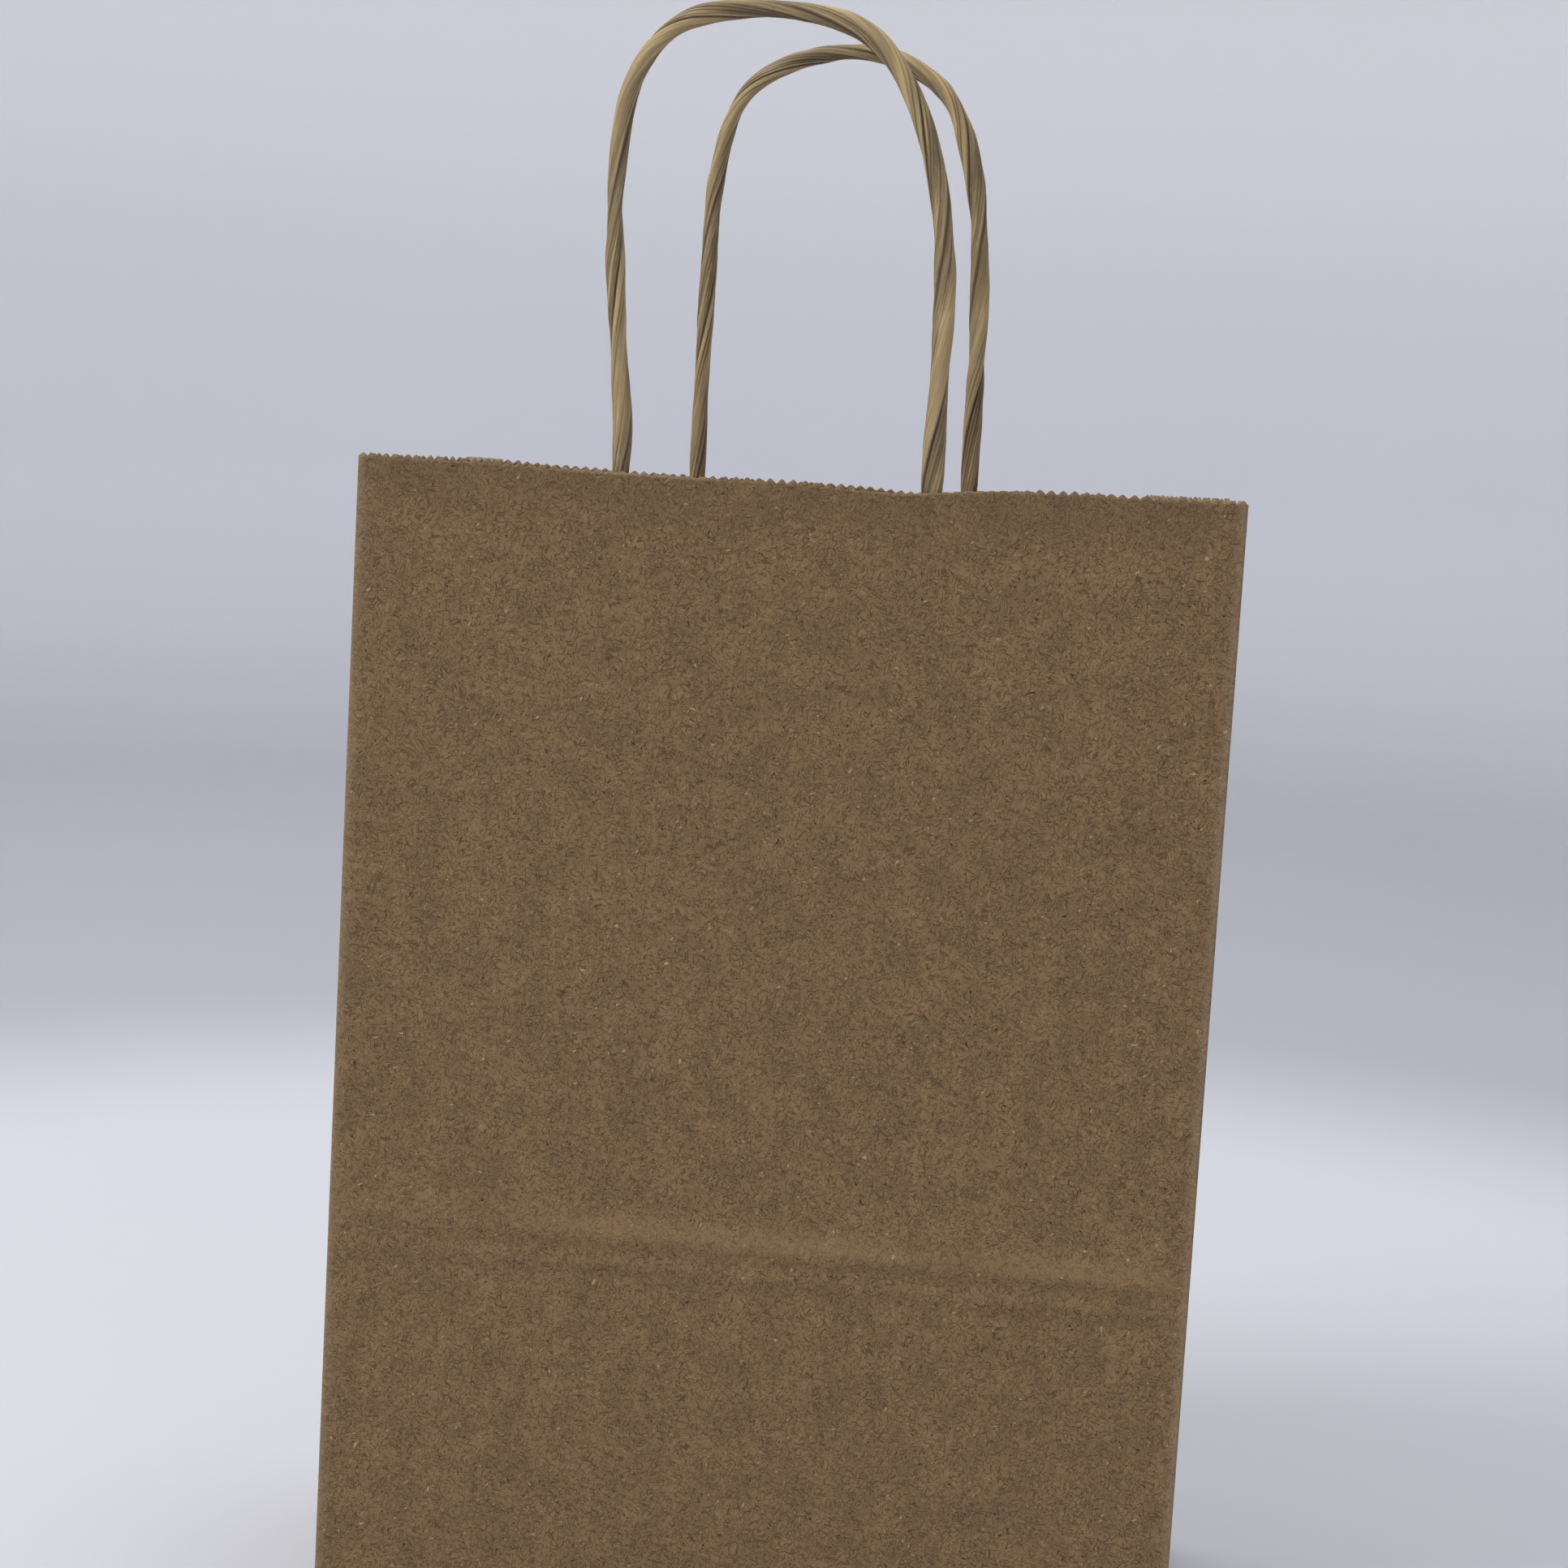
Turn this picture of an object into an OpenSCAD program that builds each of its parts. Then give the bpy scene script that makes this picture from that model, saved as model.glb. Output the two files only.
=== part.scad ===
// Block-bottom kraft paper gift bag with twisted paper cord handles.
// Millimetres. Origin at the centre of the base on the surface it stands on, +Z up, front panel at -Y.

/* [Bag] */
// Width of the front and back panels
body_w = 150; // [80:1:300]
// Depth of the base, front to back
body_d = 80; // [50:1:160]
// Height of a panel along its own face, tooth tips included
body_h = 210; // [120:1:400]
// Thickness of one layer of paper
paper = 0.2; // [0.1:0.05:0.6]
// Inward lean of the front and back panels, in degrees
lean = 1; // [0.5:0.1:4]
// Height of the fold where the base turns up for flat packing
base_crease = 40; // [20:1:80]

/* [Top edge] */
// Number of cut teeth across a panel
teeth = 77; // [20:1:120]
// Depth of the cut teeth
tooth_h = 0.8; // [0.3:0.1:2]

/* [Base flaps] */
// Reach of the front and back flaps under the base
flap_reach = 53; // [25:1:70]
// Reach of the end flaps in from the sides
end_reach = 46; // [15:1:60]
// How far the end flaps narrow at each corner
end_slant = 26; // [0:1:35]
// Clearance between the base flaps and the walls that turn about its edges
base_gap = 0.5; // [0.3:0.1:1]

/* [Handles] */
// Diameter of the twisted paper cord
cord_d = 3.5; // [2:0.1:6]
// Diameter of the cord where it is pressed between the patches
end_d = 3.2; // [2:0.1:6]
// Clearance round the pressed cord ends
glue_gap = 0.3; // [0.1:0.05:0.5]
// Length of cord end between the patches
end_l = 28; // [15:1:70]
// Height of the handle pivots above the cut edge
pivot_h = 8; // [4:0.5:20]
// Left and right feet of the front handle, from the middle of the bag
front_feet = [-29.8, 23];
// Left and right feet of the back handle, from the middle of the bag
back_feet = [-28, 25];

/* [Patches] */
// Width of the reinforcing patches
patch_w = 88; // [70:1:130]
// Height of the reinforcing patches
patch_h = 40; // [25:1:90]
// Distance from the cut edge down to the patches
patch_drop = 4; // [0:0.5:30]

/* [Seam] */
// Width of the glued seam flap
seam_w = 14; // [8:1:30]

/* [Hidden] */
half_w = body_w / 2;
half_d = body_d / 2;
// hairline left between neighbouring solids
hair = 0.05;
// depth and height of a panel's cut edge, outer face
top_y = half_d - body_h * sin(lean);
top_z = body_h * cos(lean);
// depth of the cord's centre inside a panel's outer face
cord_in = 2 * paper + glue_gap + end_d / 2;
// the same centre at the cut edge, in the bag's frame
cord_y = top_y - cord_in * cos(lean);
cord_z = top_z - cord_in * sin(lean);
pivot_z = cord_z + pivot_h;
// side folds: apex of the foot, and centre crease at the cut edge
apex_in = sqrt(pow(half_d, 2) - pow(half_d - base_crease * sin(lean), 2));
apex_z = sqrt(pow(half_d, 2) - pow(apex_in, 2));
mouth_in = sqrt(pow(half_d, 2) - pow(top_y, 2));
// the side folds stop this far inside a panel's outer face, and above the floor
edge_in = paper + 0.3;
side_lift = 0.4;
seam_in = 0.9;
seam_lift = 1;
// sides of a cord's section, and steps between two points of its line
cord_fn = 12;
cord_steps = 4;
round_fn = 48;

kraft = "#b98f63";
kraft_inside = "#b38a60";
kraft_patch = "#bd9468";
kraft_cord = "#c9a36d";

// handle lines from foot to foot: x from the middle of the bag, height above the cut edge
front_line = [
  [-29.9, pivot_h], [-31.2, 20], [-32.5, 35], [-32.8, 48], [-30.9, 62.8], [-24.2, 72.5], [-13, 75.8],
  [1, 75], [9.8, 71.1], [16.4, 62], [20.8, 49.5], [22.9, 35], [23.1, 20], [23, pivot_h],
];
back_line = [
  [-28, pivot_h], [-28, 22], [-27.8, 39], [-27, 56], [-23.1, 70.3], [-14.6, 77.2], [-3, 80],
  [7, 78.6], [17, 71.7], [22.4, 57.5], [24.4, 41], [24.9, 24], [25, pivot_h],
];

// a leaning panel's own frame: x across, y inward from its outer face, z up the panel
module on_front() translate([0, -half_d, 0]) rotate([-lean, 0, 0]) children();

module at_back() mirror([0, 1, 0]) children();

module at_left() translate([-half_w, 0, 0]) children();

module at_right() mirror([1, 0, 0]) at_left() children();

// a point of the front panel's frame in the bag's frame
function leaned(p) = [
  p[0],
  p[1] * cos(lean) + p[2] * sin(lean) - half_d,
  p[2] * cos(lean) - p[1] * sin(lean),
];

// a straight cut edge from a to b with n teeth
function cut_edge(a, b, top, n) = [
  for (i = [0 : 2 * n]) [a + (b - a) * i / (2 * n), top - (i % 2 == 0 ? tooth_h : 0)],
];

module toothed_wall(z0) {
  outline = concat([[-half_w, z0], [half_w, z0]], cut_edge(half_w, -half_w, body_h, teeth));
  rotate([90, 0, 0]) translate([0, 0, -paper]) linear_extrude(paper) polygon(outline);
}

// ---- cords: round tubes along smooth lines ----
function unit(v) = v / norm(v);

function smooth(a, b, c, d, t) =
  b + (c - a) * t / 2
  + (2 * a - 5 * b + 4 * c - d) * t * t / 2
  + (3 * b - a - 3 * c + d) * t * t * t / 2;

function smoothed(p) = concat(
  [
    for (i = [0 : len(p) - 2])
      for (k = [0 : cord_steps - 1])
        smooth(p[max(i - 1, 0)], p[i], p[i + 1], p[min(i + 2, len(p) - 1)], k / cord_steps),
  ],
  [p[len(p) - 1]]
);

function heading(p, i) =
  i == 0 ? [0, 0, 1] : i == len(p) - 1 ? [0, 0, -1] : unit(p[i + 1] - p[i - 1]);

// point k of the ring of a cord about a centre, square to its heading
function rim(centre, along, k) =
  centre
  + cord_d / 2 * cos(360 * k / cord_fn) * unit(cross(along, [0, 1, 0]))
  + cord_d / 2 * sin(360 * k / cord_fn) * unit(cross(unit(cross(along, [0, 1, 0])), along));

module tube(centres, headings) {
  n = len(centres);
  points = [
    for (i = [0 : n - 1])
      for (k = [0 : cord_fn - 1]) rim(centres[i], headings[i], k),
  ];
  sides = [
    for (i = [0 : n - 2])
      for (k = [0 : cord_fn - 1])
        [
          i * cord_fn + (k + 1) % cord_fn, i * cord_fn + k,
          (i + 1) * cord_fn + k, (i + 1) * cord_fn + (k + 1) % cord_fn,
        ],
  ];
  first = [for (k = [0 : cord_fn - 1]) k];
  last = [for (k = [cord_fn - 1 : -1 : 0]) (n - 1) * cord_fn + k];
  polyhedron(points, concat(sides, [first, last]), convexity = 6);
}

module loop(line) {
  path = smoothed([for (p = line) [p[0], -cord_y, cord_z + p[1]]]);
  tube(path, [for (i = [0 : len(path) - 1]) heading(path, i)]);
}

// the cord between the patches and the pivot, x0 at the patches and x1 at the pivot
module neck(x0, x1) {
  low = leaned([x0, cord_in, body_h - patch_drop + hair]);
  edge = leaned([x0, cord_in, body_h + 1]);
  top = [x1, -cord_y, pivot_z - hair];
  up = [0, sin(lean), cos(lean)];
  tube([low, edge, top], [up, up, [0, 0, 1]]);
}

module cord_end(x) {
  translate([x, cord_in, body_h - patch_drop - end_l]) cylinder(d = end_d, h = end_l, $fn = round_fn);
}

// ---- patches: a flat one on the panel, and one pressed over the cord ends ----
module patch(feet) {
  x0 = (feet[0] + feet[1] - patch_w) / 2;
  translate([x0, paper, body_h - patch_drop - patch_h]) cube([patch_w, paper, patch_h]);
}

module ridge(x, r) {
  translate([x, cord_in]) circle(r = r, $fn = round_fn);
  translate([x - r, 0]) square([2 * r, cord_in]);
}

module cover(feet) {
  x0 = (feet[0] + feet[1] - patch_w) / 2;
  r = end_d / 2 + glue_gap;
  translate([0, 0, body_h - patch_drop - patch_h]) linear_extrude(patch_h)
    difference() {
      union() {
        translate([x0, 0]) square([patch_w, 3 * paper]);
        ridge(feet[0], r + paper);
        ridge(feet[1], r + paper);
      }
      ridge(feet[0], r);
      ridge(feet[1], r);
      translate([x0 - paper, -paper]) square([patch_w + 2 * paper, 3 * paper]);
    }
}

// ---- side folds: flat facets that share one sheet, as thick as the paper along x ----
// rim goes once round the sheet in [inward, y, z] points; a facet lists its rim points, from one that sees all
module folded_sheet(rim, facets) {
  n = len(rim);
  inner = [for (p = rim) p + [paper, 0, 0]];
  backs = [for (f = facets) [f[0] + n, for (i = [len(f) - 1 : -1 : 1]) f[i] + n]];
  edges = [for (i = [0 : n - 1]) [(i + 1) % n, i, i + n, (i + 1) % n + n]];
  polyhedron(concat(rim, inner), concat(facets, backs, edges), convexity = 4);
}

// how far inward the plane through a, b and c lies at a [y, z] place
function inward_at(a, b, c, place) =
  let (
    u = b - a,
    v = c - a,
    area = u[1] * v[2] - v[1] * u[2],
    dy = place[0] - a[1],
    dz = place[1] - a[2]
  )
  a[0] + ((u[0] * v[2] - v[0] * u[2]) * dy + (v[0] * u[1] - u[0] * v[1]) * dz) / area;

// the half of a side fold that hangs on the front panel
module gusset_half() {
  low_z = top_z - tooth_h;
  corner = [0, edge_in - half_d, side_lift];
  bend = [0, base_crease * sin(lean) + edge_in - half_d, base_crease];
  head = [0, edge_in - top_y, low_z];
  crease = [mouth_in, -hair, low_z];
  apex = [apex_in, -hair, apex_z];
  cut = [
    for (p = cut_edge(crease[1], head[1], top_z, round(teeth * half_d / body_w)))
      [inward_at(bend, crease, head, p), p[0], p[1]],
  ];
  last = len(cut) + 2;
  folded_sheet(
    concat([corner, apex], cut, [bend]),
    [[last, 0, 1], [last, 1, 2], [last, for (i = [2 : last - 1]) i]]
  );
}

module gusset_foot() {
  y = half_d - edge_in;
  folded_sheet([[0, -y, side_lift], [0, y, side_lift], [apex_in, 0, apex_z]], [[0, 1, 2]]);
}

// ---- base: the end flaps inside, then the back flap, the front flap outermost ----
module base_flap(layer) {
  x = half_w - base_gap;
  y = half_d - base_gap;
  translate([0, 0, layer * paper]) linear_extrude(paper)
    polygon([[-x, -y], [x, -y], [x - flap_reach, flap_reach - y], [flap_reach - x, flap_reach - y]]);
}

module base_end(layer) {
  x = base_gap;
  y = half_d - base_gap;
  translate([0, 0, layer * paper]) linear_extrude(paper)
    polygon([[x, -y], [x + end_reach, end_slant - y], [x + end_reach, y - end_slant], [x, y]]);
}

// ---- sub-parts ----
module front_panel() color(kraft) on_front() toothed_wall(hair);
module front_patch() color(kraft_patch) on_front() patch(front_feet);
module front_cover() color(kraft_patch) on_front() cover(front_feet);
module front_end_left() color(kraft_cord) on_front() cord_end(front_feet[0]);
module front_end_right() color(kraft_cord) on_front() cord_end(front_feet[1]);
module front_neck_left() color(kraft_cord) neck(front_feet[0], front_line[0][0]);
module front_neck_right() color(kraft_cord) neck(front_feet[1], front_line[len(front_line) - 1][0]);
module front_loop() color(kraft_cord) loop(front_line);

module back_panel() color(kraft) at_back() on_front() toothed_wall(base_crease);
module back_foot() color(kraft) at_back() on_front()
  translate([-half_w, 0, hair]) cube([body_w, paper, base_crease - 2 * hair]);
module seam_flap() color(kraft_inside) at_back() on_front()
  translate([seam_in - half_w, paper, seam_lift]) cube([seam_w, paper, body_h - 2 * seam_lift - tooth_h]);
module back_patch() color(kraft_patch) at_back() on_front() patch(back_feet);
module back_cover() color(kraft_patch) at_back() on_front() cover(back_feet);
module back_end_left() color(kraft_cord) at_back() on_front() cord_end(back_feet[0]);
module back_end_right() color(kraft_cord) at_back() on_front() cord_end(back_feet[1]);
module back_neck_left() color(kraft_cord) at_back() neck(back_feet[0], back_line[0][0]);
module back_neck_right() color(kraft_cord) at_back() neck(back_feet[1], back_line[len(back_line) - 1][0]);
module back_loop() color(kraft_cord) at_back() loop(back_line);

module gusset_left_front() color(kraft) at_left() gusset_half();
module gusset_left_back() color(kraft) at_left() at_back() gusset_half();
module gusset_left_foot() color(kraft) at_left() gusset_foot();
module gusset_right_front() color(kraft) at_right() gusset_half();
module gusset_right_back() color(kraft) at_right() at_back() gusset_half();
module gusset_right_foot() color(kraft) at_right() gusset_foot();

module base_flap_front() color(kraft) base_flap(0);
module base_flap_back() color(kraft) at_back() base_flap(1);
module base_end_left() color(kraft_inside) at_left() base_end(2);
module base_end_right() color(kraft_inside) at_right() base_end(2);

front_panel();
front_patch();
front_cover();
front_end_left();
front_end_right();
front_neck_left();
front_neck_right();
front_loop();
back_panel();
back_foot();
seam_flap();
back_patch();
back_cover();
back_end_left();
back_end_right();
back_neck_left();
back_neck_right();
back_loop();
gusset_left_front();
gusset_left_back();
gusset_left_foot();
gusset_right_front();
gusset_right_back();
gusset_right_foot();
base_flap_front();
base_flap_back();
base_end_left();
base_end_right();
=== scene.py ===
import math

import bpy
from mathutils import Euler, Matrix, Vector, noise


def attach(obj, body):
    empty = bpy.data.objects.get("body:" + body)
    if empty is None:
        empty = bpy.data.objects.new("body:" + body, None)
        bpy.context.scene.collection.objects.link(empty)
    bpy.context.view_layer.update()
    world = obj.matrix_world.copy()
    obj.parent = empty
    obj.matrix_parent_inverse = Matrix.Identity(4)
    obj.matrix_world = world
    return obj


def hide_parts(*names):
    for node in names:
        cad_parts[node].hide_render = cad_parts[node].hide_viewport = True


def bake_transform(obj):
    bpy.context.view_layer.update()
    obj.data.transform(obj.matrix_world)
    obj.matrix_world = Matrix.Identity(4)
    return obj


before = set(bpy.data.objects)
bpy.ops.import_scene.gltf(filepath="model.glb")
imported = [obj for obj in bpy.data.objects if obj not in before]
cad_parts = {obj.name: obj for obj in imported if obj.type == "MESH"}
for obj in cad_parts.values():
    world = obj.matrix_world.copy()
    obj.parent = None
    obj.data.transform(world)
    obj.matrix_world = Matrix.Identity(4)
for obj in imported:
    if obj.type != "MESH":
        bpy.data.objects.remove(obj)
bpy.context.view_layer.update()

# Kraft paper gift bag. Lengths are in millimetres up to MM, which turns a finished point into metres.
MM = 0.001

# the bag, as part.scad has it
BODY_W = 150.0
BODY_D = 80.0
BODY_H = 210.0
PAPER = 0.2
LEAN = math.radians(1)
BASE_CREASE = 40.0
TEETH = 77
TOOTH_H = 0.8
BASE_GAP = 0.5
FLAP_REACH = 53.0
END_REACH = 46.0
END_SLANT = 26.0
SEAM_IN = 0.9
SEAM_W = 14.0
PATCH_W = 88.0
PATCH_H = 40.0
PATCH_DROP = 4.0
CORD_D = 3.5
END_D = 3.2
END_L = 28.0
PIVOT_H = 8.0
CORD_IN = 2.3
FRONT_FEET = (-29.8, 23)
BACK_FEET = (-28, 25)
FRONT_LINE = [
    (-29.9, PIVOT_H), (-31.2, 20), (-32.5, 35), (-32.8, 48), (-30.9, 62.8), (-24.2, 72.5), (-13, 75.8),
    (1, 75), (9.8, 71.1), (16.4, 62), (20.8, 49.5), (22.9, 35), (23.1, 20), (23, PIVOT_H),
]
BACK_LINE = [
    (-28, PIVOT_H), (-28, 22), (-27.8, 39), (-27, 56), (-23.1, 70.3), (-14.6, 77.2), (-3, 80),
    (7, 78.6), (17, 71.7), (22.4, 57.5), (24.4, 41), (24.9, 24), (25, PIVOT_H),
]

HALF_W = BODY_W / 2
HALF_D = BODY_D / 2
TOP_Y = HALF_D - BODY_H * math.sin(LEAN)
TOP_Z = BODY_H * math.cos(LEAN)
CORD_Y = TOP_Y - CORD_IN * math.cos(LEAN)
CORD_Z = TOP_Z - CORD_IN * math.sin(LEAN)
# side folds: apex of the foot, and the centre crease at the cut edge
APEX_IN = math.sqrt(HALF_D**2 - (HALF_D - BASE_CREASE * math.sin(LEAN)) ** 2)
APEX_Z = math.sqrt(HALF_D**2 - APEX_IN**2)
MOUTH_IN = math.sqrt(HALF_D**2 - TOP_Y**2)
# radius of a folded edge, and how far a side fold's edge lies inside a panel's outer face
FOLD_R = 0.5
SIDE_LIFT = 0.4
TOOTH_STEPS = 6
# how far below the cut edge the walls still bend down into its dips
DIP_FROM = 150
DIP_TO = 208
# heights of the two pressed marks, a little under the fold of the base
PRESS_HIGH = BODY_H * 0.364
PRESS_LOW = BODY_H * 0.341
PATCH_CORNER = 1.2
# twisted cord: points round it, distance for one turn, and distance between its rings
CORD_AROUND = 64
CORD_PITCH = 50.0
CORD_STEP = 0.5

# camera: place in metres, turn in degrees and lens in millimetres
CAMERA_PLACE = (0.05551, -0.46905, 0.21188)
CAMERA_TURN = (82.9624, -3.1243, 7.5423)
CAMERA_LENS = 59.64


# ---- small maths ----
def clamp(x, low=0.0, high=1.0):
    return max(low, min(high, x))


def smooth(a, b, x):
    t = clamp((x - a) / (b - a))
    return t * t * (3 - 2 * t)


def bump(centre, width, x):
    return math.exp(-(((x - centre) / width) ** 2))


def wander(x, y, z=0.0):
    return noise.noise(Vector((x, y, z)))


def soft_min(a, b, k):
    h = clamp(0.5 + 0.5 * (b - a) / k)
    return b + (a - b) * h - k * h * (1 - h)


def soft_max(a, b, k):
    return -soft_min(-a, -b, k)


def steps(a, b, n):
    return [a + (b - a) * i / n for i in range(n + 1)]


# ---- the leaning walls: across is x, inward goes in from the outer face, up runs along the panel ----
def bow(side, across, up):
    """How far the paper of a wall stands in from its flat plane."""
    edge = smooth(HALF_W, HALF_W - 22, abs(across)) * smooth(0, 18, up)
    calm = 1 - 0.55 * smooth(150, 200, up)
    waves = 0.55 * wander(across / 46, up / 60, 3.0 + 9 * side)
    waves += 0.16 * wander(across / 17, up / 24, 7.0 + 9 * side)
    belly = 0.5 * bump(120, 70, up)
    return edge * calm * (waves + belly)


def wall(side, across, inward, up):
    """A point of the front (side -1) or back (side 1) wall, in the bag's frame."""
    depth = inward + bow(side, across, up)
    y = HALF_D - depth * math.cos(LEAN) - up * math.sin(LEAN)
    z = up * math.cos(LEAN) - depth * math.sin(LEAN)
    return Vector((across, side * y, z))


def wall_inward(side):
    return Vector((0, -side * math.cos(LEAN), -math.sin(LEAN)))


def cut_dip(side, across):
    """The cut edge sits low between the handle's feet.

    Both walls are cut together, the back a little deeper.
    """
    dip = 0.75 * bump(-16, 24, across) + 1.35 * bump(17, 13, across) + 0.2 * bump(-40, 9, across)
    return dip if side < 0 else dip + 0.55 * smooth(72, 56, abs(across))


def tooth_size(across):
    """How much is left of the pinked teeth along the front's edge, from the left to the right."""
    size = 1 - 0.55 * smooth(-41, -37, across)
    size += 0.75 * smooth(-14, -11, across)
    size -= 1.02 * smooth(9, 12, across)
    return size + 0.8 * smooth(36, 39, across)


def frayed(across):
    """Where the front's edge is worn into hairs and curls."""
    return smooth(-42, -38, across) * smooth(-11, -15, across) + 0.5 * bump(22, 6, across)


def tooth(place, seed):
    """Height of a pinked edge's rounded teeth, where one tooth is 1 long."""
    i = math.floor(place)
    size = 0.86 + 0.22 * wander(i * 3.7, seed * 5.1)
    lean = 0.5 + 0.12 * wander(i * 2.3, seed * 3.3, 4.0)
    t = place - i
    t = 0.5 * t / lean if t < lean else 0.5 + 0.5 * (t - lean) / (1 - lean)
    return size * (0.5 - 0.5 * math.cos(2 * math.pi * t)) ** 0.85


def ragged(place, seed):
    return 0.07 * wander(place * 2.9, seed) + 0.05 * wander(place * 7.3, seed, 2.0)


# ---- meshes ----
def put(name, points, faces, smooth_faces=True):
    """A mesh object from points in millimetres."""
    mesh = bpy.data.meshes.new(name)
    mesh.from_pydata([p * MM for p in points], [], faces)
    mesh.validate()
    mesh.polygons.foreach_set("use_smooth", [smooth_faces] * len(mesh.polygons))
    piece = bpy.data.objects.new(name, mesh)
    bpy.context.scene.collection.objects.link(piece)
    return piece


def note(piece, name, values):
    """Keeps one vector for each point, for the materials to read."""
    layer = piece.data.attributes.new(name, "FLOAT_VECTOR", "POINT")
    layer.data.foreach_set("vector", [c for v in values for c in v])


def paper_sheet(name, grid, toward, thick=PAPER):
    """A closed thin sheet from rows of (point, paper place, wear and painted light).

    toward points from the rows to the sheet's other face.
    """
    rows, cols = len(grid), len(grid[0])
    outer = [cell[0] for row in grid for cell in row]
    inner = []
    for i in range(rows):
        for j in range(cols):
            along = grid[i][min(j + 1, cols - 1)][0] - grid[i][max(j - 1, 0)][0]
            up = grid[min(i + 1, rows - 1)][j][0] - grid[max(i - 1, 0)][j][0]
            normal = along.cross(up)
            normal = normal.normalized() if normal.length > 1e-9 else toward.copy()
            if normal.dot(toward) < 0:
                normal = -normal
            inner.append(grid[i][j][0] + normal * thick)
    total = rows * cols
    flip = (grid[0][1][0] - grid[0][0][0]).cross(grid[1][0][0] - grid[0][0][0]).dot(toward) > 0
    quads = []
    for i in range(rows - 1):
        for j in range(cols - 1):
            a = i * cols + j
            quads.append((a, a + 1, a + cols + 1, a + cols))
    faces = [q[::-1] if flip else q for q in quads]
    faces += [tuple(k + total for k in (q if flip else q[::-1])) for q in quads]
    rim = [j for j in range(cols)]
    rim += [i * cols + cols - 1 for i in range(1, rows)]
    rim += [(rows - 1) * cols + j for j in range(cols - 2, -1, -1)]
    rim += [i * cols for i in range(rows - 2, 0, -1)]
    for k, a in enumerate(rim):
        b = rim[(k + 1) % len(rim)]
        side = (b, a, a + total, b + total)
        faces.append(side[::-1] if flip else side)
    piece = put(name, outer + inner, faces)
    places = [cell[1] for row in grid for cell in row]
    # wear values: real wear, and on the walls also painted shade and painted highlights
    wear_and_painted_light_values = [cell[2] for row in grid for cell in row]
    note(piece, "paper", places + [(x + 40, y + 90, z) for x, y, z in places])
    note(piece, "wear_and_painted_light", wear_and_painted_light_values + wear_and_painted_light_values)
    return piece


def up_rows(crease=None):
    """Heights of a wall's rows: close together at the base fold, at the pressed marks and at the cut edge."""
    rows = steps(0.5, 12, 5) + steps(12, 66, 16)[1:] + steps(66, 83, 22)[1:] + steps(83, 196, 34)[1:]
    rows += steps(196, 207, 6)[1:] + [208.1, 208.9]
    if crease:
        rows = [r for r in rows if abs(r - crease) > 3.5] + steps(crease - 3, crease + 3, 10)
    return sorted(rows)


def pressed_marks(across, up):
    """The double soft mark that the folded base has left on the front: how far it stands out."""
    mark = 0.34 * bump(PRESS_HIGH + 2.2, 2.4, up) - 0.26 * bump(PRESS_HIGH - 1.4, 1.3, up)
    mark += 0.14 * bump(PRESS_LOW + 1.2, 1.2, up) - 0.22 * bump(PRESS_LOW - 1.2, 1.4, up)
    seen = 0.3 + 0.7 * smooth(-60, -15, across)
    return mark * seen * (0.9 + 0.5 * wander(across / 25, 0.5)) * smooth(HALF_W, HALF_W - 3, abs(across))


def wall_columns():
    """(place across, turn round the side fold) from the left edge to the right one."""
    flat = HALF_W - FOLD_R
    turns = [math.radians(a) for a in (22, 45, 68, 90)]
    columns = [(-flat, -a) for a in reversed(turns)]
    columns += [(x, 0.0) for x in steps(-flat, flat, TEETH * TOOTH_STEPS)]
    return columns + [(flat, a) for a in turns]


def cut_height(side, across, place):
    """Height of the cut edge, with its worn and its crisp stretches on the front."""
    left_over, worn = (tooth_size(across), frayed(across)) if side < 0 else (0.9, 0.0)
    cut = BODY_H - TOOTH_H - cut_dip(side, across) + TOOTH_H * left_over * tooth(place, side)
    cut += ragged(place, side)
    cut += 0.3 * (1 - left_over) + worn * 0.3 * wander(place * 1.7, 2.0)
    return cut, worn


def wall_cell(side, crease, row, column):
    """One point of a wall's paper, with its place on the sheet, its wear, and its painted shade and
    highlights.
    """
    up0, under = row
    x0, turn = column
    x = x0 + FOLD_R * math.sin(turn) * math.cos(under)
    length = x0 + FOLD_R * turn
    cut, worn = cut_height(side, x0, (length + HALF_W) / BODY_W * TEETH)
    dip = cut_dip(side, x0) * smooth(DIP_FROM, DIP_TO, up0)
    up = (up0 - dip if up0 < BODY_H else cut) - FOLD_R * math.sin(under) + 0.02
    inward = FOLD_R * (1 - math.cos(turn) * math.cos(under))
    press = pressed_marks(x0, up) if side < 0 else 0.0
    inward -= press
    folded = max(bump(HALF_W, 1.3, abs(length)), bump(0, 1.5, up0 - 0.5))
    if crease:
        inward += 0.28 * bump(crease, 1.1, up)
        folded = max(folded, 0.8 * bump(crease, 1.2, up))
    inward = max(inward, -0.25)
    cut_near = (0.4 + 0.4 * worn) * bump(cut, 0.16, up)
    # painted shade: a darker band just under the cut edge
    shade = 0.8 * (1 - smooth(3, 12, cut - up))
    # third value: that painted shade, plus painted shade in the pressed marks' valleys and painted highlights
    # (negative) on their ridges
    return wall(side, x, inward, up), (x, up, 10.0 + 5 * side), (cut_near, folded, shade - 2.4 * press)


def wall_sheet(name, side):
    """A broad panel, with its side folds and the turn under the base."""
    crease = BASE_CREASE if side > 0 else None
    rows = [(0.5, math.radians(a)) for a in (88, 60, 30)]
    rows += [(r, 0.0) for r in up_rows(crease)] + [(BODY_H, 0.0)]
    grid = [[wall_cell(side, crease, row, column) for column in wall_columns()] for row in rows]
    return paper_sheet(name, grid, wall_inward(side))


# ---- side folds: x runs in from the side, with flat facets that meet in soft creases ----
def fold_edge_y(z):
    """Distance from the middle plane to the fold's outer edge at a height."""
    return HALF_D - FOLD_R - z * math.tan(LEAN)


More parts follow.
